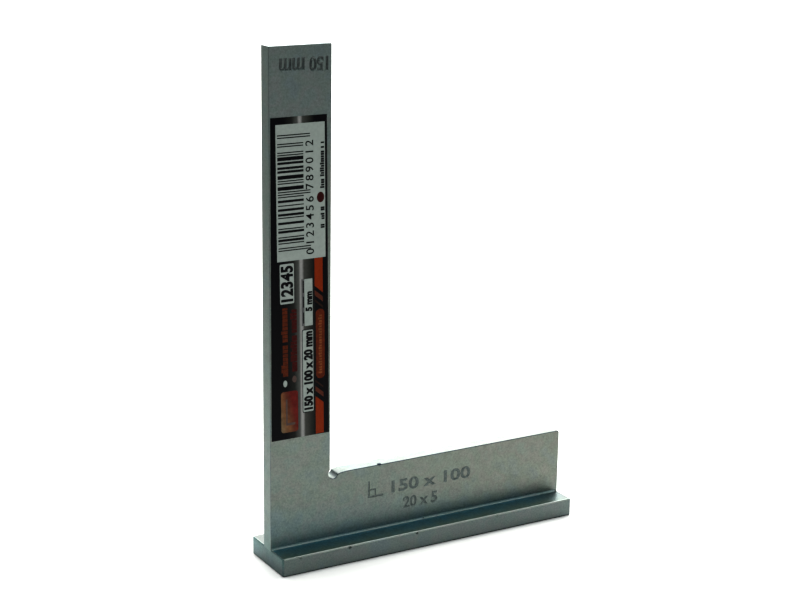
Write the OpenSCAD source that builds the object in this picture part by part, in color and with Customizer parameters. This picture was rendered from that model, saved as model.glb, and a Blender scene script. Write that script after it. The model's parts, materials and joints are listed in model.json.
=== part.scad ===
// Steel square with a foot: an L-shaped blade that stands on a wider flat foot.
// Millimetres. X runs along the base arm, Z up the upright, and -Y is the labelled side.
// The origin is the middle of the foot's underside, so the upright is at the -X end.

/* [Blade] */
// Overall height, from the foot's underside to the top of the upright
square_h = 150; // [145:5:250]
// Length of the base arm and of the foot
base_l = 100; // [90:5:200]
// Width of the upright arm
upright_w = 19.2; // [19.2:0.1:30]
// Height of the base arm above the foot
base_arm_h = 20; // [15:0.5:30]
// Thickness of the blade
blade_t = 4.6; // [4:0.1:8]
// Radius of the relief cut in the inner corner
relief_r = 1.6; // [1:0.1:2.5]
// How far the relief cut bites into the upright's inner edge
relief_bite = 0.5; // [0:0.1:1]
// Radius of the free corner of the base arm
corner_r = 0.8; // [0.4:0.1:2]

/* [Foot] */
// Width of the foot
foot_w = 20; // [14:1:40]
// Thickness of the foot
foot_t = 5.5; // [5:0.5:10]
// Radius of the foot's upright corners
foot_corner_r = 0.7; // [0.3:0.1:2]
// Height of the tongue under the blade, which sits in a groove in the foot
tongue_h = 2; // [1:0.25:2.5]
// Distance from each end of the foot to the tongue
tongue_inset = 5; // [3:0.5:10]

/* [Foot pins] */
// Number of pins that hold the foot to the blade
pin_count = 4; // [2:1:6]
// Diameter of a pin's shank
pin_d = 2.5; // [2:0.1:3]
// Diameter of a pin's countersunk head
pin_head_d = 4.5; // [4:0.1:6]
// Depth of the countersink
pin_head_h = 1; // [0.8:0.1:1.5]
// How far a pin reaches into the blade above the groove
pin_grip = 6; // [4:0.5:9]
// Chamfer on the tip of a pin
pin_tip = 0.3; // [0.1:0.05:0.5]

/* [Label] */
// Width of the printed label at its lower edge
label_w = 18.3; // [12:0.1:18.5]
// How much narrower the label is cut at its upper edge
label_taper = 1.1; // [0:0.1:2]
// Length of the printed label
label_l = 92.2; // [40:0.1:100]
// Thickness of the printed label
label_t = 0.12; // [0.08:0.01:0.2]
// Gap between the label and the outer edge of the upright
label_gap = 0.45; // [0.2:0.05:0.7]
// Height of the label's lower edge above the foot's underside
label_z = 38.5; // [30:0.1:45]

/* [Hidden] */
$fn = 48;
left = -base_l / 2;
right = base_l / 2;
inner = left + upright_w;
base_top = foot_t + base_arm_h;
groove_z = foot_t - tongue_h;
tongue_l = base_l - 2 * tongue_inset;
pin_pitch = base_l / pin_count;
pin_top = groove_z + pin_grip;
// Room left above a pin's tip in its blind hole
pin_air = 0.6;
// Overlap past a face that a cutting tool needs to cut cleanly
cut = 1;

// Middle of pin number i along the base arm
function pin_x(i) = left + (i - 0.5) * pin_pitch;

// An outline drawn in X and Z, made into a plate that is centred on Y
module plate(thickness)
  rotate([90, 0, 0])
    linear_extrude(height = thickness, center = true)
      children();

// Sharp outline of the blade: upright, base arm, and the tongue beneath the base arm
module blade_outline() {
  translate([left, foot_t])
    square([upright_w, square_h - foot_t]);
  difference() {
    translate([left, foot_t])
      square([base_l, base_arm_h]);
    free_corner();
  }
  translate([left + tongue_inset, groove_z])
    square([tongue_l, tongue_h + cut]);
}

// The waste outside the rounded free corner of the base arm
module free_corner()
  difference() {
    translate([right - corner_r, base_top - corner_r])
      square(corner_r + cut);
    translate([right - corner_r, base_top - corner_r])
      circle(r = corner_r);
  }

// The L-shaped plate, with its relief cut and the blind holes for the pins
module blade()
  color("#8f9a99")
    difference() {
      plate(blade_t) blade_outline();
      translate([inner - relief_bite + relief_r, 0, base_top])
        rotate([90, 0, 0])
          cylinder(r = relief_r, h = blade_t + 2 * cut, center = true);
      for (i = [1:pin_count])
        translate([pin_x(i), 0, groove_z - cut])
          cylinder(d = pin_d, h = cut + pin_grip + pin_air);
    }

// Rectangle with round corners, centred on the origin
module round_rectangle(length, width, r) {
  square([length - 2 * r, width], center = true);
  square([length, width - 2 * r], center = true);
  for (x = [-1, 1], y = [-1, 1])
    translate([x * (length / 2 - r), y * (width / 2 - r)])
      circle(r = r);
}

// The flat bar under the blade, with a stopped groove and countersunk pin holes
module foot()
  color("#7f8b8b")
    difference() {
      linear_extrude(height = foot_t)
        round_rectangle(base_l, foot_w, foot_corner_r);
      translate([-tongue_l / 2, -blade_t / 2, groove_z])
        cube([tongue_l, blade_t, tongue_h + cut]);
      for (i = [1:pin_count])
        translate([pin_x(i), 0, 0]) {
          translate([0, 0, -cut])
            cylinder(d = pin_d, h = foot_t + 2 * cut);
          cylinder(d1 = pin_head_d, d2 = pin_d, h = pin_head_h);
        }
    }

// One countersunk pin, flush with the foot's underside and pressed into the blade
module foot_pin(i)
  color("#6f7a7c")
    translate([pin_x(i), 0, 0])
      rotate_extrude()
        polygon([
          [0, 0],
          [pin_head_d / 2, 0],
          [pin_d / 2, pin_head_h],
          [pin_d / 2, pin_top - pin_tip],
          [pin_d / 2 - pin_tip, pin_top],
          [0, pin_top]
        ]);

// The printed label on the front face of the upright, its inner edge cut a little askew
module label()
  color("#2c2826")
    translate([left + label_gap, -(blade_t + label_t) / 2, label_z])
      plate(label_t)
        polygon([
          [0, 0],
          [label_w, 0],
          [label_w - label_taper, label_l],
          [0, label_l]
        ]);

blade();
foot();
for (i = [1:pin_count])
  foot_pin(i);
label();
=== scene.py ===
"""Looks of a steel square with a foot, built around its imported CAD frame.

Metres, in the frame's own axes: +Z up the upright, +X along the base arm, -Y the
labelled side. The blade, the foot and the label are rebuilt with their fine shapes; the
CAD pins stay and only get a material.
"""

import json
import math

import bmesh
import bpy
from mathutils import Matrix, Vector


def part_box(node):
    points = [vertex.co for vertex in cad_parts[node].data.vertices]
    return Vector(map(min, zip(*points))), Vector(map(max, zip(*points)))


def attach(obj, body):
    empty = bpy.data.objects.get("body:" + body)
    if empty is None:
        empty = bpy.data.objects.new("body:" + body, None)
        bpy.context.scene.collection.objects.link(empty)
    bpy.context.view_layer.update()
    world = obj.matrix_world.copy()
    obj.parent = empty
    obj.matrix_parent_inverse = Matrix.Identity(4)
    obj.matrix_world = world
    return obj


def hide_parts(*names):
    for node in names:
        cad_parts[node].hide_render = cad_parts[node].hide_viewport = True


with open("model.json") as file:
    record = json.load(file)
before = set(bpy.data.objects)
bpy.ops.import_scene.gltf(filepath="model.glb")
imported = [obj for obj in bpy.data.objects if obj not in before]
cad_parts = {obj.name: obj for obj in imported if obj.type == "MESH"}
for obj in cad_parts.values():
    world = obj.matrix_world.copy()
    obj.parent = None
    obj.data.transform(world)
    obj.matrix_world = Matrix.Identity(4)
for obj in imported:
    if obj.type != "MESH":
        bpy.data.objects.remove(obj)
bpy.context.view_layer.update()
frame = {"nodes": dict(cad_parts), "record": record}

MM = 0.001


def mount_at(name):
    """The place of one of the square's working faces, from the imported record."""
    found = next(m for m in frame["record"]["mounts"] if m["name"] == name)
    return Vector(found["pos_m"])


# ---------------------------------------------------------------- sizes from the frame

foot_low, foot_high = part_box("foot")
blade_low, blade_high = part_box("blade")
label_low, label_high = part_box("label")

LEFT, RIGHT = blade_low.x, blade_high.x
FRONT, BACK = blade_low.y, blade_high.y
TOP = blade_high.z
GROOVE = blade_low.z
FOOT_TOP = foot_high.z
INNER = mount_at("inner_edge").x
BASE_TOP = mount_at("base_inner_edge").z

# ---------------------------------------------------------------- small shapes, metres

RELIEF_R = 1.6 * MM
RELIEF_BITE = 0.5 * MM
SHOULDER_RUN = 3.4 * MM
SHOULDER_DROP = 0.42 * MM
FREE_CORNER_R = 0.8 * MM
TONGUE_INSET = 5 * MM
FOOT_CORNER_R = 0.7 * MM
PIN_R = 1.25 * MM
PIN_HEAD_H = 1 * MM
PIN_AIR = 0.6 * MM
BLADE_EDGE = 0.2 * MM
FOOT_EDGE = 0.38 * MM
FILLET_R = 0.55 * MM
STAMP_DEPTH = 0.15 * MM
TOP_STAMP_DEPTH = 0.27 * MM
INK = 0.012 * MM
INK_GLOSS = 0.05
# How much lower the painted reflection above the foot reaches for each length along the base arm
REFLECTION_LEAN = 0.10
# Ramps of painted light and tone hold half the factor of each colour, so a half changes nothing
UNCHANGED_HALF = (0.5, 0.5, 0.5)
# The print leans on the film: its lower end stands nearer to the inner edge
PRINT_LEAN = 0.011
PRINT_MIDDLE = 84.5 * MM

# ---------------------------------------------------------------- camera and light values

CAMERA_PLACE = (-0.2598, -0.4309, 0.2110)
CAMERA_YAW = math.radians(30.412)
CAMERA_PITCH = math.radians(15.317)
CAMERA_ROLL = math.radians(0.851)
CAMERA_LENS = 80.4
# Level directions from the camera to the backdrop, and to the camera's right
BACKDROP_AXIS = (math.sin(CAMERA_YAW), math.cos(CAMERA_YAW), 0)
SIDE_AXIS = (math.cos(CAMERA_YAW), -math.sin(CAMERA_YAW), 0)
BACKDROP_GLOW = 5.0
CEILING_GLOW = 0.4
ROOM_GLOW = (0.26, 0.32, 0.33)
FLOOR_WHITE = (0.95, 0.93, 0.90, 1)
# The painted grey of the floor's sides, where the painted pool of light ends
FLOOR_SIDES = 0.40

# Ways that letters can read on the blade's front: across, upside down, and upward
ACROSS = Matrix(((1, 0, 0), (0, 0, -1), (0, 1, 0)))
TURNED = Matrix(((-1, 0, 0), (0, 0, -1), (0, -1, 0)))
UPWARD = Matrix(((0, -1, 0), (0, 0, -1), (1, 0, 0)))


# ---------------------------------------------------------------- mesh helpers


def arc(centre, radius, start, end, steps):
    """Points on an arc, between two angles in degrees."""
    points = []
    for i in range(steps + 1):
        a = math.radians(start + (end - start) * i / steps)
        points.append((centre[0] + radius * math.cos(a), centre[1] + radius * math.sin(a)))
    return points


def add_prism(bm, outline, near, far):
    """Adds an XZ outline as a closed solid between the planes y = near and y = far."""
    front = [bm.verts.new((x, near, z)) for x, z in outline]
    back = [bm.verts.new((x, far, z)) for x, z in outline]
    faces = [bm.faces.new(front), bm.faces.new(back[::-1])]
    for i in range(len(outline)):
        j = (i + 1) % len(outline)
        faces.append(bm.faces.new((front[j], front[i], back[i], back[j])))
    bmesh.ops.recalc_face_normals(bm, faces=faces)


def soften(bm, width, segments, chosen=lambda edge: True, material=-1):
    """Rounds the chosen edges that turn by more than 35 degrees."""
    sharp = [e for e in bm.edges if e.is_manifold and e.calc_face_angle(0) > math.radians(35)]
    bmesh.ops.bevel(
        bm,
        geom=[e for e in sharp if chosen(e)],
        offset=width,
        segments=segments,
        profile=0.5,
        affect="EDGES",
        clamp_overlap=True,
        material=material,
    )


def as_object(name, bm, *materials):
    """Turns a bmesh into a linked object that carries these materials."""
    mesh = bpy.data.meshes.new(name)
    bm.to_mesh(mesh)
    bm.free()
    obj = bpy.data.objects.new(name, mesh)
    bpy.context.scene.collection.objects.link(obj)
    for material in materials:
        mesh.materials.append(material)
    return obj


def baked(obj):
    """A plain mesh of the object with its modifiers applied."""
    bpy.context.view_layer.update()
    return bpy.data.meshes.new_from_object(obj.evaluated_get(bpy.context.evaluated_depsgraph_get()))


def carve(obj, cutter_bm, *materials):
    """Cuts the solids in a bmesh out of the object; the cut faces may get their own material."""
    cutter = as_object("cutter", cutter_bm, *materials)
    cut = obj.modifiers.new("cut", "BOOLEAN")
    cut.operation = "DIFFERENCE"
    cut.solver = "EXACT"
    cut.material_mode = "TRANSFER" if materials else "INDEX"
    cut.use_self = True
    cut.object = cutter
    mesh = baked(obj)
    obj.modifiers.clear()
    obj.data = mesh
    bpy.data.objects.remove(cutter)


def shade_smooth(obj, angle=40):
    """Smooth shading that keeps the large flat faces flat."""
    obj.data.shade_smooth()
    obj.data.set_sharp_from_angle(angle=math.radians(angle))
    weighted = obj.modifiers.new("flat faces", "WEIGHTED_NORMAL")
    weighted.keep_sharp = True


def finish_piece(obj, slot, *replaced):
    """Fixes a piece to the object and hides the CAD nodes it stands for. The slot is not used."""
    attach(obj, "root")
    if replaced:
        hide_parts(*replaced)


def lettering(words, turn, centre, size, bold, thick, bevel=0.0, gap=1.0):
    """A bmesh of raised or cutting letters.

    turn sets which way they read, centre is the middle of the words, and size is their
    length along the reading direction and the height of their capitals. bold widens the
    strokes, and thick is half their thickness. bevel adds to that and narrows the strokes
    away from the middle, and gap spreads the letters out.
    """
    curve = bpy.data.curves.new("letters", "FONT")
    curve.body = words
    curve.align_x = "CENTER"
    curve.size = 1.0
    curve.space_character = gap
    curve.resolution_u = 3
    probe = bpy.data.objects.new("letters", curve)
    bpy.context.scene.collection.objects.link(probe)
    bpy.context.view_layer.update()
    flat = baked(probe)
    xs = [v.co.x for v in flat.vertices]
    ys = [v.co.y for v in flat.vertices]
    length, height = max(xs) - min(xs), max(ys) - min(ys)
    middle = Vector(((max(xs) + min(xs)) / 2, (max(ys) + min(ys)) / 2, 0))
    scale = (size[0] / length, size[1] / height)
    em = min(scale)
    curve.offset = (bold - bevel) / em
    curve.bevel_depth = bevel / em
    curve.bevel_resolution = 0
    curve.extrude = thick / em
    solid = baked(probe)
    bm = bmesh.new()
    bm.from_mesh(solid)
    bmesh.ops.remove_doubles(bm, verts=bm.verts, dist=1e-5)
    bmesh.ops.translate(bm, verts=bm.verts, vec=-middle)
    bmesh.ops.scale(bm, verts=bm.verts, vec=(scale[0], scale[1], em))
    bmesh.ops.transform(bm, verts=bm.verts, matrix=turn.to_4x4())
    bmesh.ops.translate(bm, verts=bm.verts, vec=centre)
    bpy.data.objects.remove(probe)
    for mesh in (flat, solid):
        bpy.data.meshes.remove(mesh)
    return bm


def merge(into, extra):
    """Adds one bmesh to another and frees it."""
    mesh = bpy.data.meshes.new("merge")
    extra.to_mesh(mesh)
    extra.free()
    into.from_mesh(mesh)
    bpy.data.meshes.remove(mesh)


# ---------------------------------------------------------------- shader helpers


def new_material(name):
    """An empty node material, with its Principled shader."""
    material = bpy.data.materials.new(name)
    material.use_nodes = True
    return material, material.node_tree, material.node_tree.nodes["Principled BSDF"]


def add(tree, kind, links=None, **settings):
    """A node with its settings, and its inputs linked from other sockets or set to values."""
    node = tree.nodes.new(kind)
    for key, value in settings.items():
        setattr(node, key, value)
    for key, value in (links or {}).items():
        if isinstance(value, bpy.types.NodeSocket):
            tree.links.new(value, node.inputs[key])
        else:
            node.inputs[key].default_value = value
    return node


def place(tree):
    """Where a point lies on the object."""
    return add(tree, "ShaderNodeTexCoord").outputs["Object"]


def noise(tree, vector, scale, detail=2.0, rough=0.5):
    """A grey noise value from 0 to 1, about 0.5 on average."""
    return add(
        tree,
        "ShaderNodeTexNoise",
        {"Vector": vector, "Scale": scale, "Detail": detail, "Roughness": rough},
    ).outputs["Fac"]


def spread(tree, value, low, high, start=0.3, end=0.7):
    """Maps a value between start and end to the range from low to high."""
    return add(
        tree,
        "ShaderNodeMapRange",
        {"Value": value, "From Min": start, "From Max": end, "To Min": low, "To Max": high},
    ).outputs["Result"]


def ramp(tree, value, stops):
    """A colour ramp through (position, colour) stops."""
    node = add(tree, "ShaderNodeValToRGB", {"Fac": value})
    elements = node.color_ramp.elements
    while len(elements) < len(stops):
        elements.new(0.5)
    for element, (position, colour) in zip(elements, stops):
        element.position = position
        element.color = (*colour, 1)
    return node.outputs["Color"]


def ramp_between(tree, value, start, end, stops):
    """A colour ramp over a value as it runs from start to end."""
    return ramp(tree, spread(tree, value, 0, 1, start=start, end=end), stops)


def along_axis(tree, vector, axis):
    """How far a point or a direction reaches along an axis."""
    node = add(tree, "ShaderNodeVectorMath", {0: vector, 1: axis}, operation="DOT_PRODUCT")
    return node.outputs["Value"]


def math_node(tree, operation, *values):
    """The result of one Math node."""
    node = add(tree, "ShaderNodeMath", dict(enumerate(values)), operation=operation)
    return node.outputs["Value"]


def mixed(tree, blend, share, one, other):
    """Two colours blended, with this share of the other."""
    node = add(
        tree,
        "ShaderNodeMix",
        {0: share, 6: one, 7: other},
        data_type="RGBA",
        blend_type=blend,
    )
    return node.outputs[2]


def multiplied(tree, one, other):
    """Two colours multiplied."""
    return mixed(tree, "MULTIPLY", 1.0, one, other)


def tinted(tree, colour, factor):
    """A colour multiplied by a grey value."""
    grey = add(tree, "ShaderNodeCombineColor", {"Red": factor, "Green": factor, "Blue": factor})
    return multiplied(tree, colour, grey.outputs["Color"])


# ---------------------------------------------------------------- materials


def blade_painted_light_and_tone(tree, where):
    """How painted light and tone change the blade's colour.

    A painted bluish reflection of the ledge makes the blade bluer just above the foot, lightest
    next to it, and fades to the right; a painted reflection makes the top of the upright lighter
    and cooler, and the free end of the base arm is lighter and warmer.
    """
    foot_line = FOOT_TOP + REFLECTION_LEAN * LEFT
    height = along_axis(tree, where, (REFLECTION_LEAN, 0, 1))
    # Painted bluish reflection of the ledge, lightest just above the foot
    low = ramp_between(
        tree,
        height,
        foot_line,
        foot_line + 15 * MM,
        [
            (0.03, (0.72, 0.80, 0.85)),
            (0.16, (0.50, 0.56, 0.62)),
            (0.42, (0.43, 0.485, 0.53)),
            (1.00, UNCHANGED_HALF),
        ],
    )
    # Painted reflection: the top of the upright lighter and cooler
    high = ramp_between(
        tree,
        height,
        TOP - 40 * MM,
        TOP - 24 * MM,
        [(0, UNCHANGED_HALF), (1, (0.56, 0.57, 0.61))],
    )
    along = ramp_between(
        tree,
        along_axis(tree, where, (1, 0, 0)),
        INNER,
        RIGHT,
        [(0.18, UNCHANGED_HALF), (0.38, (0.545, 0.53, 0.52)), (0.94, (0.565, 0.53, 0.515))],
    )
    return tinted(tree, multiplied(tree, multiplied(tree, low, high), along), 8.0)


def end_painted_shade(tree, where):
    """How painted shade changes the upright's outer edge: bluer and darker down to the foot."""
    half = ramp_between(
        tree,
        along_axis(tree, where, (0, 0, 1)),
        FOOT_TOP - MM,
        FOOT_TOP + 10 * MM,
        [
            (0.06, (0.325, 0.430, 0.440)),
            (0.22, (0.380, 0.450, 0.468)),
            (0.60, (0.410, 0.450, 0.465)),
            (0.95, UNCHANGED_HALF),
        ],
    )
    return tinted(tree, half, 2.0)


def foot_end_painted_shade(tree, where):
    """How painted shade changes the foot's sawn end: darker to the floor, bluer to the blade."""
    half = ramp_between(
        tree,
        along_axis(tree, where, (0, 0, 1)),
        foot_low.z,
        FOOT_TOP,
        [
            (0.12, (0.410, 0.410, 0.425)),
            (0.36, (0.460, 0.460, 0.480)),
            (0.73, (0.480, 0.545, 0.555)),
            (0.96, (0.450, 0.545, 0.540)),
        ],
    )
    return tinted(tree, half, 2.0)


def plated_steel(name, shade=1.0, rough=0.42, grain=0.18, cast=(1, 1, 1), back=1.0, colour_factors=None):
    """Matt zinc plating: a cloudy blue-green grey with a fine grain.

    shade darkens it, cast tints it, and back is painted light: how much brighter it is at the back.
    Its last argument is the function that gives its colour factor from painted light, shade and
    tone.
    """
    material, tree, shader = new_material(name)
    where = place(tree)
    clouds = noise(tree, where, 160, 3)
    tones = [
        (0.34, (0.146, 0.177, 0.168)),
        (0.47, (0.151, 0.181, 0.158)),
        (0.58, (0.162, 0.177, 0.162)),
        (0.68, (0.148, 0.180, 0.162)),
    ]
    stops = []
    for position, tone in tones:
        stops.append((position, [part * shade * extra for part, extra in zip(tone, cast)]))
    tint = ramp(tree, clouds, stops)
    if colour_factors:
        tint = multiplied(tree, tint, colour_factors(tree, where))
    fine = noise(tree, where, 2000, 3, 0.7)
    depth = along_axis(tree, where, (0, 1, 0))
    # Painted light: brighter towards the back, by the factor back
    painted_back_light = spread(tree, depth, 1, back, start=0, end=foot_high.y)
    tone = math_node(tree, "MULTIPLY", spread(tree, fine, 1 - grain, 1 + grain), painted_back_light)
    tree.links.new(tinted(tree, tint, tone), shader.inputs["Base Color"])
    shader.inputs["Metallic"].default_value = 1.0
    patches = noise(tree, where, 420, 3)
    tree.links.new(spread(tree, patches, rough - 0.05, rough + 0.05), shader.inputs["Roughness"])
    bump = add(
        tree,
        "ShaderNodeBump",
        {"Height": noise(tree, where, 2400, 3, 0.6), "Strength": 0.35, "Distance": 0.02 * MM},
    )
    tree.links.new(bump.outputs["Normal"], shader.inputs["Normal"])
    return material


def printed(name, colour, rough=0.35, speckle=0.06):
    """Printed ink on film, with a faint mottle."""
    material, tree, shader = new_material(name)
    where = place(tree)
    mottle = spread(tree, noise(tree, where, 1400, 2), 1 - speckle, 1 + speckle)
    tree.links.new(tinted(tree, (*colour, 1), mottle), shader.inputs["Base Color"])
    sheen = noise(tree, where, 300, 2)
    tree.links.new(spread(tree, sheen, rough - 0.04, rough + 0.04), shader.inputs["Roughness"])
    shader.inputs["Specular IOR Level"].default_value = INK_GLOSS
    return material


def punched_steel_painted_light(name, dark):
    """Steel inside a punched mark, mottled with dirt: painted shade where its faces look sideways
    or down, and a painted highlight on its lower lip, whose faces look up.
    """
    material, tree, shader = new_material(name)
    normal = add(tree, "ShaderNodeNewGeometry").outputs["Normal"]
    upward = along_axis(tree, normal, (0, 0, 1))
    # Painted by the facing: shade in the groove, a highlight where faces look up
    colour = ramp_between(tree, upward, 0.2, 0.6, [(0, dark), (1, (0.26, 0.30, 0.28))])
    grime = spread(tree, noise(tree, place(tree), 1800, 3), 0.75, 1.25)
    tree.links.new(tinted(tree, colour, grime), shader.inputs["Base Color"])
    shader.inputs["Metallic"].default_value = 1.0
    shader.inputs["Roughness"].default_value = 0.5
    return material


def ledge_reflection_steel(name):
    """Steel of the front ledge, with a painted cool reflection that is bluest beside the blade.

    The painted reflection turns greener towards the front edge and stops short of the free end.
    """
    material, tree, shader = new_material(name)
    where = place(tree)
    blotch = math_node(tree, "MULTIPLY_ADD", noise(tree, where, 260, 3), 6 * MM, -3 * MM)
    depth = math_node(tree, "ADD", along_axis(tree, where, (0, 1, 0)), blotch)
    painted_reflection = ramp_between(
        tree,
        depth,
        foot_low.y,
        FRONT,
        [
            (0.10, (0.180, 0.265, 0.225)),
            (0.45, (0.150, 0.290, 0.310)),
            (0.85, (0.125, 0.320, 0.410)),
        ],
    )
    free_end = spread(
        tree, along_axis(tree, where, (1, 0, 0)), 0, 1, start=RIGHT - 13 * MM, end=RIGHT
    )
    back = spread(tree, along_axis(tree, where, (0, 1, 0)), 0, 1, start=FRONT, end=BACK)
    bare = math_node(tree, "MAXIMUM", free_end, back)
    colour = mixed(tree, "MIX", bare, painted_reflection, (0.095, 0.108, 0.098, 1))
    grain = spread(tree, noise(tree, where, 1500, 3, 0.7), 0.8, 1.2)
    tree.links.new(tinted(tree, colour, grain), shader.inputs["Base Color"])
    shader.inputs["Metallic"].default_value = 1.0
    shader.inputs["Roughness"].default_value = 0.4
    return material


def badge(name):
    """A patch of ink that runs from olive through orange to red across the label."""
    material, tree, shader = new_material(name)
    where = place(tree)
    start = LEFT + 13.4 * MM
    colour = ramp_between(
        tree,
        along_axis(tree, where, (1, 0, 0.25)),
        start,
        start + 7 * MM,
        [
            (0.05, (0.150, 0.105, 0.058)),
            (0.40, (0.160, 0.070, 0.030)),
            (0.62, (0.100, 0.030, 0.016)),
            (0.85, (0.120, 0.012, 0.009)),
        ],
    )
    mottle = spread(tree, noise(tree, where, 700, 3), 0.75, 1.25)
    tree.links.new(tinted(tree, colour, mottle), shader.inputs["Base Color"])
    shader.inputs["Roughness"].default_value = 0.35
    shader.inputs["Specular IOR Level"].default_value = INK_GLOSS
    return material


def film(name):
    """Black printed film with a silver band that fades to both sides."""
    material, tree, shader = new_material(name)
    where = place(tree)
    start = LEFT + PRINT_LEAN * PRINT_MIDDLE
    band = ramp_between(
        tree,
        along_axis(tree, where, (1, 0, PRINT_LEAN)),
        start,
        start + 20 * MM,
        [
            (0.24, (0.002, 0.002, 0.003)),
            (0.37, (0.014, 0.015, 0.013)),
            (0.45, (0.075, 0.078, 0.072)),
            (0.475, (0.275, 0.268, 0.26)),
            (0.50, (0.275, 0.268, 0.26)),
            (0.53, (0.055, 0.056, 0.050)),
            (0.63, (0.020, 0.021, 0.018)),
            (0.71, (0.002, 0.002, 0.003)),
        ],
    )
    mottle = spread(tree, noise(tree, where, 1200, 2), 0.92, 1.08)
    tree.links.new(tinted(tree, band, mottle), shader.inputs["Base Color"])
    shader.inputs["Roughness"].default_value = 0.32
    shader.inputs["Specular IOR Level"].default_value = INK_GLOSS
    return material


def paper_floor():
    """Studio floor: a painted pool of light, white under, before and behind the square, and greyer
    at the sides.
    """
    material, tree, shader = new_material("floor")
    where = place(tree)
    depth = along_axis(tree, where, BACKDROP_AXIS)
    aside = math_node(tree, "ABSOLUTE", along_axis(tree, where, SIDE_AXIS))
    # Painted pool of light: white out to 0.12 m aside, grey from 0.31 m, and both further out with
    # the distance
    widening = math_node(tree, "MULTIPLY_ADD", depth, -0.25, aside)
    white = spread(tree, widening, 1, FLOOR_SIDES, start=0.12, end=0.31)
    tree.links.new(tinted(tree, FLOOR_WHITE, white), shader.inputs["Base Color"])
    shader.inputs["Roughness"].default_value = 0.9
    shader.inputs["Specular IOR Level"].default_value = 0.0
    return material


STEEL = plated_steel("plated_steel", colour_factors=blade_painted_light_and_tone)
END_STEEL = plated_steel("end_steel", shade=0.96, cast=(0.94, 1.02, 1.04), colour_factors=end_painted_shade)
# Painted highlight: bevels far brighter than the plated steel
EDGE = plated_steel("edge_painted_highlight", shade=1.9, rough=0.36, grain=0.1, cast=(1.05, 0.98, 1.0))
BAR_STEEL = plated_steel("foot_steel", shade=0.80, rough=0.4, cast=(0.96, 1.0, 1.08))
# Painted highlight: the foot's top bevels, far brighter than its steel
BAR_EDGE_HIGHLIGHT = plated_steel("foot_edge_painted_highlight", shade=1.76, rough=0.34, grain=0.1, cast=(1.02, 0.98, 1.0))
LEDGE_REFLECTION_STEEL = ledge_reflection_steel("ledge_painted_reflection")
# Painted highlight: the joint fillet, far brighter than the plated steel
FILLET_HIGHLIGHT_STEEL = plated_steel("fillet_painted_highlight", shade=1.75, cast=(0.89, 1.02, 1.11))
# The foot's sawn ends: rougher, darkened with painted shade and lighter at the back with painted
# light
SAWN_SHADED_STEEL = plated_steel(
    "sawn_steel_painted_shade",
    shade=0.57,
    rough=0.46,
    grain=0.25,
    cast=(0.88, 1.07, 1.16),
    back=1.7,
    colour_factors=foot_end_painted_shade,
)
DARK_BLUE_EDGE = plated_steel("dark_blue_edge", shade=0.3, rough=0.36, grain=0.1, cast=(0.85, 0.97, 1.3))
# Painted shade: the foot's lower roundings, dark as the contact shadow under them
CONTACT_SHADE_EDGE = plated_steel("foot_bottom_painted_shade", shade=0.3, rough=0.5, grain=0.25)
PIN_STEEL = plated_steel("pin_steel", shade=0.85, rough=0.3, grain=0.14)
PUNCHED = punched_steel_painted_light("punched_steel_painted_light", (0.072, 0.085, 0.083))
FAINT_PUNCHED = punched_steel_painted_light("faint_punched_steel", (0.105, 0.125, 0.120))
BLACK = printed("ink_black", (0.002, 0.002, 0.003))
WHITE = printed("ink_white", (0.31, 0.345, 0.32), rough=0.45)
ORANGE = printed("ink_orange", (0.205, 0.023, 0.003))
BROWN = printed("ink_brown", (0.085, 0.022, 0.012))
DARK_BROWN = printed("ink_dark_brown", (0.022, 0.010, 0.007))
PILL_DARK = printed("ink_pill", (0.096, 0.015, 0.004), speckle=0.25)
PILL_LIGHT = printed("ink_pill_text", (0.175, 0.050, 0.016), speckle=0.25)
RUST = printed("ink_rust", (0.085, 0.016, 0.005), speckle=0.25)
RED = printed("ink_red", (0.050, 0.005, 0.004), speckle=0.25)
MARK_RED = printed("ink_mark_red", (0.035, 0.004, 0.004))
BADGE = badge("ink_badge")
GREY = printed("ink_grey", (0.10, 0.10, 0.10))
DUSKY = printed("ink_dusky", (0.085, 0.055, 0.048))


# ---------------------------------------------------------------- camera, light, floor


def make_camera():
    """The camera stands in front and to the left, a little above the top of the square."""
    level = Vector(BACKDROP_AXIS) * math.cos(CAMERA_PITCH)
    ahead = level - Vector((0, 0, math.sin(CAMERA_PITCH)))
    side = ahead.cross(Vector((0, 0, 1))).normalized()
    upward = side.cross(ahead)
    right = side * math.cos(CAMERA_ROLL) + upward * math.sin(CAMERA_ROLL)
    up = upward * math.cos(CAMERA_ROLL) - side * math.sin(CAMERA_ROLL)
    camera = bpy.data.objects.new("camera", bpy.data.cameras.new("camera"))
    bpy.context.scene.collection.objects.link(camera)
    turn = Matrix((right, up, -ahead)).transposed().to_4x4()
    camera.matrix_world = Matrix.Translation(CAMERA_PLACE) @ turn
    camera.data.lens = CAMERA_LENS
    camera.data.sensor_width = 36
    camera.data.clip_start = 0.01
    bpy.context.scene.camera = camera


def make_floor():
    """A wide pale floor under the foot."""
    bm = bmesh.new()
    bmesh.ops.create_circle(bm, cap_ends=True, segments=96, radius=6)
    bmesh.ops.translate(bm, verts=bm.verts, vec=(0, 0, foot_low.z - 0.01 * MM))
    floor = as_object("floor", bm, paper_floor())


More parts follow.
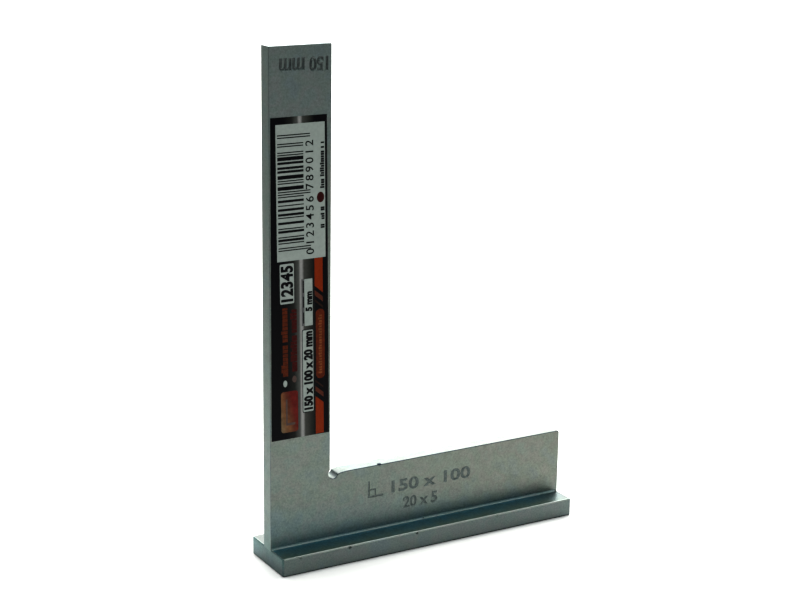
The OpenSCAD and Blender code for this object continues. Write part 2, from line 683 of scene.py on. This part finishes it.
def make_world():
    """Soft light: a bright backdrop, a lit ceiling, and a dim cool room all round."""
    world = bpy.data.worlds.new("studio")
    world.use_nodes = True
    bpy.context.scene.world = world
    tree = world.node_tree
    way = add(tree, "ShaderNodeTexCoord").outputs["Generated"]
    behind = spread(
        tree, along_axis(tree, way, BACKDROP_AXIS), 0, BACKDROP_GLOW, start=0.55, end=0.85
    )
    above = spread(tree, along_axis(tree, way, (0, 0, 1)), 0, CEILING_GLOW, start=0.5, end=0.9)
    lit = math_node(tree, "MAXIMUM", behind, above)
    studio = add(tree, "ShaderNodeCombineColor", {"Red": lit, "Green": lit, "Blue": lit})
    colour = mixed(tree, "ADD", 1.0, studio.outputs["Color"], (*ROOM_GLOW, 1))
    tree.links.new(colour, tree.nodes["Background"].inputs["Color"])


def make_light(name, at, target, size, power):
    """A softbox, as wide and as deep as its size says, that looks at a target."""
    data = bpy.data.lights.new(name, "AREA")
    data.shape = "RECTANGLE"
    data.size, data.size_y = size
    data.energy = power
    light = bpy.data.objects.new(name, data)
    bpy.context.scene.collection.objects.link(light)
    light.location = at
    light.rotation_euler = (Vector(target) - Vector(at)).to_track_quat("-Z", "Y").to_euler()


# ---------------------------------------------------------------- blade


def blade_outline():
    """The L shape: relief cut with a worn shoulder, round free corner, and the tongue."""
    relief = (INNER - RELIEF_BITE + RELIEF_R, BASE_TOP)
    meets = math.degrees(math.acos((INNER - relief[0]) / RELIEF_R))
    lip = -math.degrees(math.asin(SHOULDER_DROP / RELIEF_R))
    notch = arc(relief, RELIEF_R, lip, meets - 360, 20)
    shoulder = []
    steps = 6
    for i in range(steps):
        t = i / steps
        x = notch[0][0] + SHOULDER_RUN * (1 - t)
        shoulder.append((x, BASE_TOP - SHOULDER_DROP * t * t))
    corner = (RIGHT - FREE_CORNER_R, BASE_TOP - FREE_CORNER_R)
    return [
        (LEFT, FOOT_TOP - FOOT_EDGE),
        (LEFT + FOOT_EDGE, FOOT_TOP),
        (LEFT + TONGUE_INSET, FOOT_TOP),
        (LEFT + TONGUE_INSET, GROOVE),
        (RIGHT - TONGUE_INSET, GROOVE),
        (RIGHT - TONGUE_INSET, FOOT_TOP),
        (RIGHT - FOOT_EDGE, FOOT_TOP),
        (RIGHT, FOOT_TOP - FOOT_EDGE),
        *arc(corner, FREE_CORNER_R, 0, 90, 8),
        *shoulder,
        *notch,
        (INNER, TOP),
        (LEFT, TOP),
    ]


def stamped_words(marks, bold, depth):
    """Cutters for punched words, each with its turn, its middle and its size in mm."""
    cutters = bmesh.new()
    for words, turn, (u, z), (length, height) in marks:
        at = Vector((LEFT + u * MM, FRONT, z * MM))
        size = (length * MM, height * MM)
        merge(
            cutters,
            lettering(words, turn, at, size, bold=bold, thick=0.01 * MM, bevel=depth),
        )
    return cutters


def top_marks():
    """The length, punched at the top so that it reads when the square lies upside down."""
    marks = [
        ("150", TURNED, (15.2, 144.6), (5.4, 3.7)),
        ("mm", TURNED, (7.0, 144.8), (7.3, 3.1)),
    ]
    return stamped_words(marks, bold=0.2 * MM, depth=TOP_STAMP_DEPTH)


def base_marks():
    """The sizes, punched lightly into the base arm."""
    marks = [
        ("150 x 100", ACROSS, (53.6, 17.7), (27.2, 3.6)),
        ("20 x 5", ACROSS, (49.8, 11.9), (11.6, 3.5)),
    ]
    return stamped_words(marks, bold=STAMP_DEPTH, depth=STAMP_DEPTH)


def corner_outline(x, z, arm, stroke):
    """An L with its outer corner at (x, z); a negative arm and stroke turn it half round."""
    return [
        (x, z),
        (x + arm, z),
        (x + arm, z + stroke),
        (x + stroke, z + stroke),
        (x + stroke, z + arm),
        (x, z + arm),
    ]


def right_angle_marks():
    """Cutters for a plain right-angle sign: an L, and a hook that closes a small square.

    The hook is shallower and runs into the L, so that no faces of the two coincide.
    """
    x, z = LEFT + 31.8 * MM, 15.6 * MM
    square, stroke = 2.72 * MM, 0.6 * MM
    big = corner_outline(x, z, 5.2 * MM, stroke)
    hook = corner_outline(x + square, z + square, stroke / 2 - square, -0.42 * MM)
    cutters = []
    for outline, depth in ((big, STAMP_DEPTH), (hook, 0.8 * STAMP_DEPTH)):
        bm = bmesh.new()
        add_prism(bm, outline, FRONT - STAMP_DEPTH, FRONT + depth)
        cutters.append(bm)
    return cutters


BLADE_SURFACES = [STEEL, EDGE, END_STEEL, BAR_STEEL, DARK_BLUE_EDGE]


def blade_surface(face):
    """The steel on a face of the blade, where so far the bevels are EDGE and the rest STEEL."""
    normal = face.normal
    slanted = normal.z > 0.3 and abs(normal.y) > 0.3 and abs(normal.x) < 0.5
    if slanted and face.calc_center_median().z < BASE_TOP + MM:
        # Bevels along the top of the base arm, coloured dark blue-grey
        return DARK_BLUE_EDGE
    if normal.x < -0.99:
        # The upright's outer edge
        return END_STEEL
    if normal.x < -0.3:
        # Its bevels
        return BAR_STEEL
    if normal.x < 0.3:
        return STEEL
    # Faces that look towards the free end stay as they are, their bevels with the painted highlight
    return BLADE_SURFACES[face.material_index]


def make_blade():
    """The L-shaped plate, with softened edges and punched marks."""
    bm = bmesh.new()
    add_prism(bm, blade_outline(), FRONT, BACK)
    soften(bm, BLADE_EDGE, 2, lambda e: max(v.co.z for v in e.verts) > FOOT_TOP + 0.1 * MM, 1)
    bm.normal_update()
    for face in bm.faces:
        face.material_index = BLADE_SURFACES.index(blade_surface(face))
    blade = as_object("blade_plate", bm, *BLADE_SURFACES)
    holes = bmesh.new()
    for name in pin_names():
        add_blind_hole(holes, name)
    carve(blade, holes)
    carve(blade, top_marks(), PUNCHED)
    carve(blade, base_marks(), FAINT_PUNCHED)
    for mark in right_angle_marks():
        carve(blade, mark, FAINT_PUNCHED)
    shade_smooth(blade)
    finish_piece(blade, "plated_steel", "blade")


# ---------------------------------------------------------------- foot


def foot_outline():
    """The bar's plan: a rectangle with round corners, as X and Y."""
    half = foot_high.y - FOOT_CORNER_R
    ends = (foot_low.x + FOOT_CORNER_R, foot_high.x - FOOT_CORNER_R)
    points = []
    for x, y, start in (
        (ends[1], half, 0),
        (ends[0], half, 90),
        (ends[0], -half, 180),
        (ends[1], -half, 270),
    ):
        points += arc((x, y), FOOT_CORNER_R, start, start + 90, 5)
    return points


FOOT_SURFACES = [BAR_STEEL, BAR_EDGE_HIGHLIGHT, SAWN_SHADED_STEEL, LEDGE_REFLECTION_STEEL, CONTACT_SHADE_EDGE]


def foot_surface(face):
    """The steel on a face of the foot, where so far the bevels are BAR_EDGE_HIGHLIGHT, the rest BAR_STEEL."""
    normal = face.normal
    if -0.99 < normal.z < -0.15:
        # The rounding along the lower edges, darkened with painted contact shade
        return CONTACT_SHADE_EDGE
    if abs(normal.x) > 0.3:
        # The sawn ends, darkened with painted shade
        return SAWN_SHADED_STEEL
    if normal.z < -0.3:
        # The underside
        return BAR_STEEL
    if normal.z > 0.99 and len(face.verts) > 20:
        # The top, the one level face with this many corners, with the painted reflection on its
        # front ledge
        return LEDGE_REFLECTION_STEEL
    return FOOT_SURFACES[face.material_index]


def make_foot():
    """The flat bar, with a groove for the blade's tongue and countersunk pin holes."""
    bm = bmesh.new()
    add_prism(bm, foot_outline(), foot_low.z, foot_high.z)
    # The outline is a plan, so the prism is laid down flat
    for v in bm.verts:
        v.co = (v.co.x, v.co.z, v.co.y)
    bm.normal_update()
    bmesh.ops.recalc_face_normals(bm, faces=bm.faces)
    soften(bm, FOOT_EDGE, 4, lambda e: abs(e.verts[0].co.z - e.verts[1].co.z) < 1e-6, 1)
    bm.normal_update()
    for face in bm.faces:
        face.material_index = FOOT_SURFACES.index(foot_surface(face))
    foot = as_object("foot_bar", bm, *FOOT_SURFACES)
    cutters = bmesh.new()
    ends = (LEFT + TONGUE_INSET, RIGHT - TONGUE_INSET)
    groove = [
        (ends[0], GROOVE),
        (ends[1], GROOVE),
        (ends[1], FOOT_TOP + MM),
        (ends[0], FOOT_TOP + MM),
    ]
    add_prism(cutters, groove, FRONT, BACK)
    for name in pin_names():
        add_pin_hole(cutters, name)
    carve(foot, cutters)
    nicks = bmesh.new()
    # Distance of each nick from the left end, and its radius, in mm
    for u, radius in ((5.6, 0.4), (21.7, 0.6), (44.3, 0.5), (72.5, 0.35)):
        add_lump(nicks, (LEFT + u * MM, foot_low.y, FOOT_TOP - 0.6 * MM), radius * MM, 0.6)
    carve(foot, nicks, FAINT_PUNCHED)
    shade_smooth(foot)
    finish_piece(foot, "plated_steel", "foot")


def add_lump(bm, at, radius, flat=1.0):
    """Adds a ball that is as high as flat says, for a nick or a burr."""
    ball = bmesh.new()
    bmesh.ops.create_icosphere(ball, subdivisions=2, radius=radius)
    bmesh.ops.scale(ball, verts=ball.verts, vec=(1, 1, flat))
    bmesh.ops.translate(ball, verts=ball.verts, vec=at)
    merge(bm, ball)


def make_burr():
    """A small dark burr left on the front of the base arm's top edge."""
    bm = bmesh.new()
    add_lump(bm, (LEFT + 35.7 * MM, FRONT + 0.35 * MM, BASE_TOP), 0.7 * MM, 0.55)
    burr = as_object("edge_burr", bm, DARK_BLUE_EDGE)
    shade_smooth(burr)
    finish_piece(burr, "plated_steel")


def pin_names():
    """The CAD pins, in order along the foot."""
    return sorted(n for n in frame["nodes"] if n.startswith("foot_pin_"))


def add_pin_hole(bm, name):
    """Adds a cutter for one pin's countersunk hole, with a broken edge at its mouth."""
    low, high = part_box(name)
    head = (high.x - low.x) / 2
    mouth = 0.12 * MM
    profile = [
        (foot_low.z - MM, head + MM + mouth),
        (foot_low.z + mouth, head),
        (foot_low.z + PIN_HEAD_H, PIN_R),
        (foot_high.z + MM, PIN_R),
    ]
    add_turned(bm, (low.x + high.x) / 2, profile)


def add_blind_hole(bm, name):
    """Adds a cutter for the blade's hole around one pin, with air above the pin's tip."""
    low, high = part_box(name)
    add_turned(bm, (low.x + high.x) / 2, [(GROOVE - MM, PIN_R), (high.z + PIN_AIR, PIN_R)])


def add_turned(bm, middle, profile):
    """Adds a solid turned about an upright axis at x = middle, from (height, radius) pairs."""
    steps = 40
    rings = []
    for z, r in profile:
        ring = []
        for i in range(steps):
            a = 2 * math.pi * i / steps
            ring.append(bm.verts.new((middle + r * math.cos(a), r * math.sin(a), z)))
        rings.append(ring)
    faces = [bm.faces.new(rings[0]), bm.faces.new(rings[-1][::-1])]
    for below, above in zip(rings, rings[1:]):
        for i in range(steps):
            j = (i + 1) % steps
            faces.append(bm.faces.new((below[j], below[i], above[i], above[j])))
    bmesh.ops.recalc_face_normals(bm, faces=faces)


def make_joint_fillet(name, face, outward):
    """The thin plated fillet in the corner between the blade and the foot's ledge, with a painted
    highlight.
    """
    bm = bmesh.new()
    section = [(face, FOOT_TOP)]
    centre = (face + outward * FILLET_R, FOOT_TOP + FILLET_R)
    steps = 6
    for i in range(steps + 1):
        a = math.radians(90 * i / steps)
        y = centre[0] - outward * FILLET_R * math.cos(a)
        section.append((y, centre[1] - FILLET_R * math.sin(a)))
    rings = []
    for x in (LEFT + 0.2 * MM, RIGHT - MM):
        rings.append([bm.verts.new((x, y, z)) for y, z in section])
    faces = [bm.faces.new(rings[0]), bm.faces.new(rings[1][::-1])]
    for i in range(len(section)):
        j = (i + 1) % len(section)
        faces.append(bm.faces.new((rings[0][j], rings[0][i], rings[1][i], rings[1][j])))
    bmesh.ops.recalc_face_normals(bm, faces=faces)
    fillet = as_object(name, bm, FILLET_HIGHLIGHT_STEEL)
    if outward < 0:
        # One small nick, in the front fillet only
        nick = bmesh.new()
        at = (LEFT + 51 * MM, face - FILLET_R * 0.6, FOOT_TOP + FILLET_R * 0.5)
        add_lump(nick, at, 0.35 * MM)
        carve(fillet, nick, PUNCHED)
    shade_smooth(fillet, 60)
    finish_piece(fillet, "plated_steel")


# ---------------------------------------------------------------- label


def box_outline(u0, u1, z0, z1, radius=0.0):
    """A rectangle on the upright in mm, from the outer edge and the underside."""
    x0, x1 = LEFT + u0 * MM, LEFT + u1 * MM
    low, high, r = z0 * MM, z1 * MM, radius * MM
    if not radius:
        return [(x0, low), (x1, low), (x1, high), (x0, high)]
    corners = [(x1 - r, high - r), (x0 + r, high - r), (x0 + r, low + r), (x1 - r, low + r)]
    points = []
    for k, corner in enumerate(corners):
        points += arc(corner, r, 90 * k, 90 * k + 90, 5)
    return points


def add_ink(bm, outline, layer=1):
    """Adds a flat printed shape, this many ink layers above the film."""
    far = label_low.y - (layer - 1) * INK
    add_prism(bm, outline, far - INK, far)


def add_words(bm, words, u0, u1, z0, z1, bold, gap=1.0, layer=2):
    """Adds printed letters that read upwards inside a box in mm."""
    at = Vector((LEFT + (u0 + u1) / 2 * MM, label_low.y - (layer - 0.5) * INK, (z0 + z1) / 2 * MM))
    size = ((z1 - z0) * MM, (u1 - u0) * MM)
    merge(bm, lettering(words, UPWARD, at, size, bold=bold * MM, thick=INK / 2, gap=gap))


def chance(i, seed):
    """A fixed number from 0 to 1 that looks random."""
    return math.modf(abs(math.sin(i * 12.9898 + seed * 78.233)) * 43758.5453)[0]


def add_blocks(bm, u0, u1, z0, z1, pitch, seed, layer=1, spaces=0.12, fill=0.84):
    """Adds a row of small blocks that stands for a line of small print.

    spaces is the share of the places left empty, and fill the part of the pitch that a
    block covers. Some blocks are taller, as capitals are.
    """
    z = z0
    i = 0
    while z < z1 - pitch * 0.5:
        i += 1
        if chance(i, seed + 1) > spaces:
            width = pitch * (fill + 0.16 * (chance(i, seed) - 0.5))
            lift = (u1 - u0) * (0.22 if chance(i, seed + 2) > 0.3 else 0.0)
            add_ink(bm, box_outline(u0 + lift, u1, z, min(z + width, z1)), layer)
        z += pitch


def ink_piece(name, material, bm):
    """Makes a printed piece: the shapes lean with the print."""
    for v in bm.verts:
        v.co.x += PRINT_LEAN * (PRINT_MIDDLE - v.co.z)
    obj = as_object(name, bm, material)
    finish_piece(obj, "printed_label")


def make_film():
    """The film itself, cut a little narrower at its upper end."""
    cad = frame["nodes"]["label"].data
    upper_x = max(v.co.x for v in cad.vertices if v.co.z > label_high.z - MM)
    outline = [
        (label_low.x, label_low.z),
        (label_high.x, label_low.z),
        (upper_x, label_high.z),
        (label_low.x, label_high.z),
    ]
    bm = bmesh.new()
    add_prism(bm, outline, label_low.y, label_high.y)
    soften(bm, 0.02 * MM, 2)
    obj = as_object("label_film", bm, film("label_film"))
    shade_smooth(obj)
    finish_piece(obj, "printed_label", "label")


def oval(u, z, half_u, half_z, steps=24):
    """An ellipse on the label, in mm."""
    points = []
    for i in range(steps):
        a = 2 * math.pi * i / steps
        points.append((LEFT + (u + half_u * math.cos(a)) * MM, (z + half_z * math.sin(a)) * MM))
    return points


def make_white_print():
    """The code patch, the framed size boxes and a dot."""
    bm = bmesh.new()
    add_ink(bm, box_outline(2.4, 17.45, 90.55, 128.75))
    add_ink(bm, box_outline(3.15, 7.5, 78.35, 89.8, 0.35))
    add_ink(bm, box_outline(10.7, 13.25, 71.2, 84.8, 0.15))
    add_ink(bm, box_outline(10.0, 13.3, 45.8, 69.95, 0.35), 2)
    add_ink(bm, oval(4.4, 55.1, 0.62, 1.0))
    ink_piece("label_white_print", WHITE, bm)


def make_black_print():
    """The bars, the numbers, the frame of the size box and the small print."""
    bm = bmesh.new()
    add_ink(bm, box_outline(9.8, 13.5, 45.55, 70.2, 0.5))
    add_bars(bm)
    add_words(bm, "0", 11.45, 13.85, 91.8, 93.4, bold=0.03)
    add_words(bm, "123456", 11.45, 13.85, 95.0, 108.2, bold=0.03, gap=1.35)
    add_words(bm, "789012", 11.45, 13.85, 110.3, 123.9, bold=0.03, gap=1.35)
    add_words(bm, "12345", 3.6, 7.05, 79.1, 89.1, bold=0.18, gap=1.06)
    add_words(bm, "5 mm", 11.15, 13.0, 75.5, 81.0, bold=0.15)
    add_words(bm, "150 x 100 x 20 mm", 10.5, 12.95, 46.5, 69.4, bold=0.185, layer=3)
    add_blocks(bm, 16.0, 17.2, 98.9, 105.2, pitch=0.62, seed=3, layer=2)
    add_blocks(bm, 15.9, 17.2, 110.2, 123.2, pitch=0.66, seed=5, layer=2)
    for low, high in ((72.0, 75.2), (76.6, 79.8), (80.9, 84.4)):
        add_ink(bm, box_outline(10.2, 10.55, low, high), 2)
    ink_piece("label_black_print", BLACK, bm)


def code_modules():
    """The bars and gaps of a code that encodes nothing.

    Each says whether it is a bar, its width in modules and how far across it reaches in mm.
    """
    guard_reach, figure_reach = 12.9, 10.8
    guard = [(True, 1, guard_reach), (False, 1, guard_reach), (True, 1, guard_reach)]
    middle = [(False, 1, guard_reach)]
    modules = list(guard)
    for half in range(2):
        if half:
            modules += middle
        for figure in range(6):
            first = 1 + int(3 * chance(figure, 21 + half))
            second = 1 + int(2 * chance(figure, 23 + half))
            third = 1 + int((6 - first - second) * 0.99 * chance(figure, 25 + half))
            # The four widths of a figure add up to seven modules
            widths = (first, second, third, 7 - first - second - third)
            for k, width in enumerate(widths):
                modules.append(((k + half) % 2 == 1, width, figure_reach))
        if not half:
            modules += middle
        modules += guard
    return modules


def add_bars(bm):
    """Adds the bars: narrow ones a little thinner than their modules, wide ones thicker."""
    # A module's width and the first bar's height, in mm
    module = 0.342
    z = 93.45
    for is_bar, width, reach in code_modules():
        if is_bar:
            end = z + (width - 0.12) * module * 1.06
            add_ink(bm, box_outline(2.85, reach, z, end), 2)
        z += width * module


def make_orange_print():
    """The strip down the inner side: slanted ends, thin slanted stripes and a long pill."""
    u0, u1, slant = 13.95, 16.5, -2.15
    bm = bmesh.new()
    add_ink(bm, slanted_strip(u0, u1, 38.7, 50.0, 0.0, slant))
    add_ink(bm, slanted_strip(u0, u1, 82.5, 90.5, slant, 0.0))
    ink_piece("label_orange_print", ORANGE, bm)
    bm = bmesh.new()
    add_ink(bm, slanted_strip(u0, u1, 51.6, 53.0, slant, slant))
    add_ink(bm, slanted_strip(u0, u1, 79.8, 81.3, slant, slant))
    ink_piece("label_brown_print", BROWN, bm)
    bm = bmesh.new()
    add_ink(bm, slanted_strip(u0, u1, 54.3, 54.9, slant, slant))
    add_ink(bm, slanted_strip(u0, u1, 78.0, 78.6, slant, slant))
    ink_piece("label_dark_stripes", DARK_BROWN, bm)
    bm = bmesh.new()
    add_ink(bm, box_outline(14.2, 16.95, 55.2, 75.6, 1.2))
    ink_piece("label_pill_print", PILL_DARK, bm)
    bm = bmesh.new()
    add_blocks(
        bm, 15.0, 16.1, 56.6, 74.4, pitch=0.8, seed=41, layer=2, spaces=0.06, fill=0.7
    )
    ink_piece("label_pill_text_print", PILL_LIGHT, bm)


def slanted_strip(u0, u1, z0, z1, low_slant, high_slant):
    """A strip whose ends may slant: the slants lift the side nearer to the inner edge."""
    outline = box_outline(u0, u1, z0, z1)
    slants = (0, low_slant, high_slant, 0)
    return [(x, z + slant * MM) for (x, z), slant in zip(outline, slants)]


def make_small_print():
    """Rows of blocks in place of words, and plain signs in place of a badge and an icon."""
    bm = bmesh.new()
    for low, high, seed in ((57.2, 66.5, 31), (67.3, 77.2, 33)):
        add_blocks(bm, 3.3, 5.35, low, high, pitch=1.15, seed=seed, spaces=0.0, fill=0.88)
    ink_piece("label_rust_print", RUST, bm)
    bm = bmesh.new()
    for low, high, seed in ((58.3, 68.9, 37), (69.7, 76.5, 39)):
        add_blocks(bm, 6.2, 8.25, low, high, pitch=1.0, seed=seed, spaces=0.0, fill=0.9)
    ink_piece("label_red_print", RED, bm)
    bm = bmesh.new()
    add_ink(bm, oval(16.0, 107.7, 1.15, 1.5), 2)
    ink_piece("label_red_mark", MARK_RED, bm)
    bm = bmesh.new()
    add_ink(bm, box_outline(3.0, 8.35, 40.5, 52.7, 0.8))
    ink_piece("label_badge_print", BADGE, bm)
    bm = bmesh.new()
    sign = [(4.5, 42.6), (7.4, 42.6), (7.4, 43.3), (5.0, 43.3), (5.0, 50.4), (4.5, 50.4)]
    add_ink(bm, [(LEFT + u * MM, z * MM) for u, z in sign], 2)
    add_ink(bm, oval(7.3, 56.1, 0.7, 1.0))
    ink_piece("label_dusky_print", DUSKY, bm)
    bm = bmesh.new()
    add_ink(bm, box_outline(9.8, 10.65, 71.3, 84.9))
    ink_piece("label_grey_print", GREY, bm)


def make_label():
    """The film and everything that is printed on it."""
    make_film()
    make_white_print()
    make_black_print()
    make_orange_print()
    make_small_print()


# ---------------------------------------------------------------- assembly

make_camera()
make_floor()
make_world()
make_light("top_softbox", at=(0.9, 0.6, 2.0), target=(0.9, 0, 0.03), size=(4.2, 1.6), power=88)
bpy.context.scene.view_settings.view_transform = "Standard"
bpy.context.scene.view_settings.gamma = 0.85

make_blade()
make_burr()
make_foot()
make_joint_fillet("joint_fillet_front", FRONT, -1)
make_joint_fillet("joint_fillet_back", BACK, 1)
make_label()
for pin in pin_names():
    frame["nodes"][pin].data.materials.clear()
    frame["nodes"][pin].data.materials.append(PIN_STEEL)
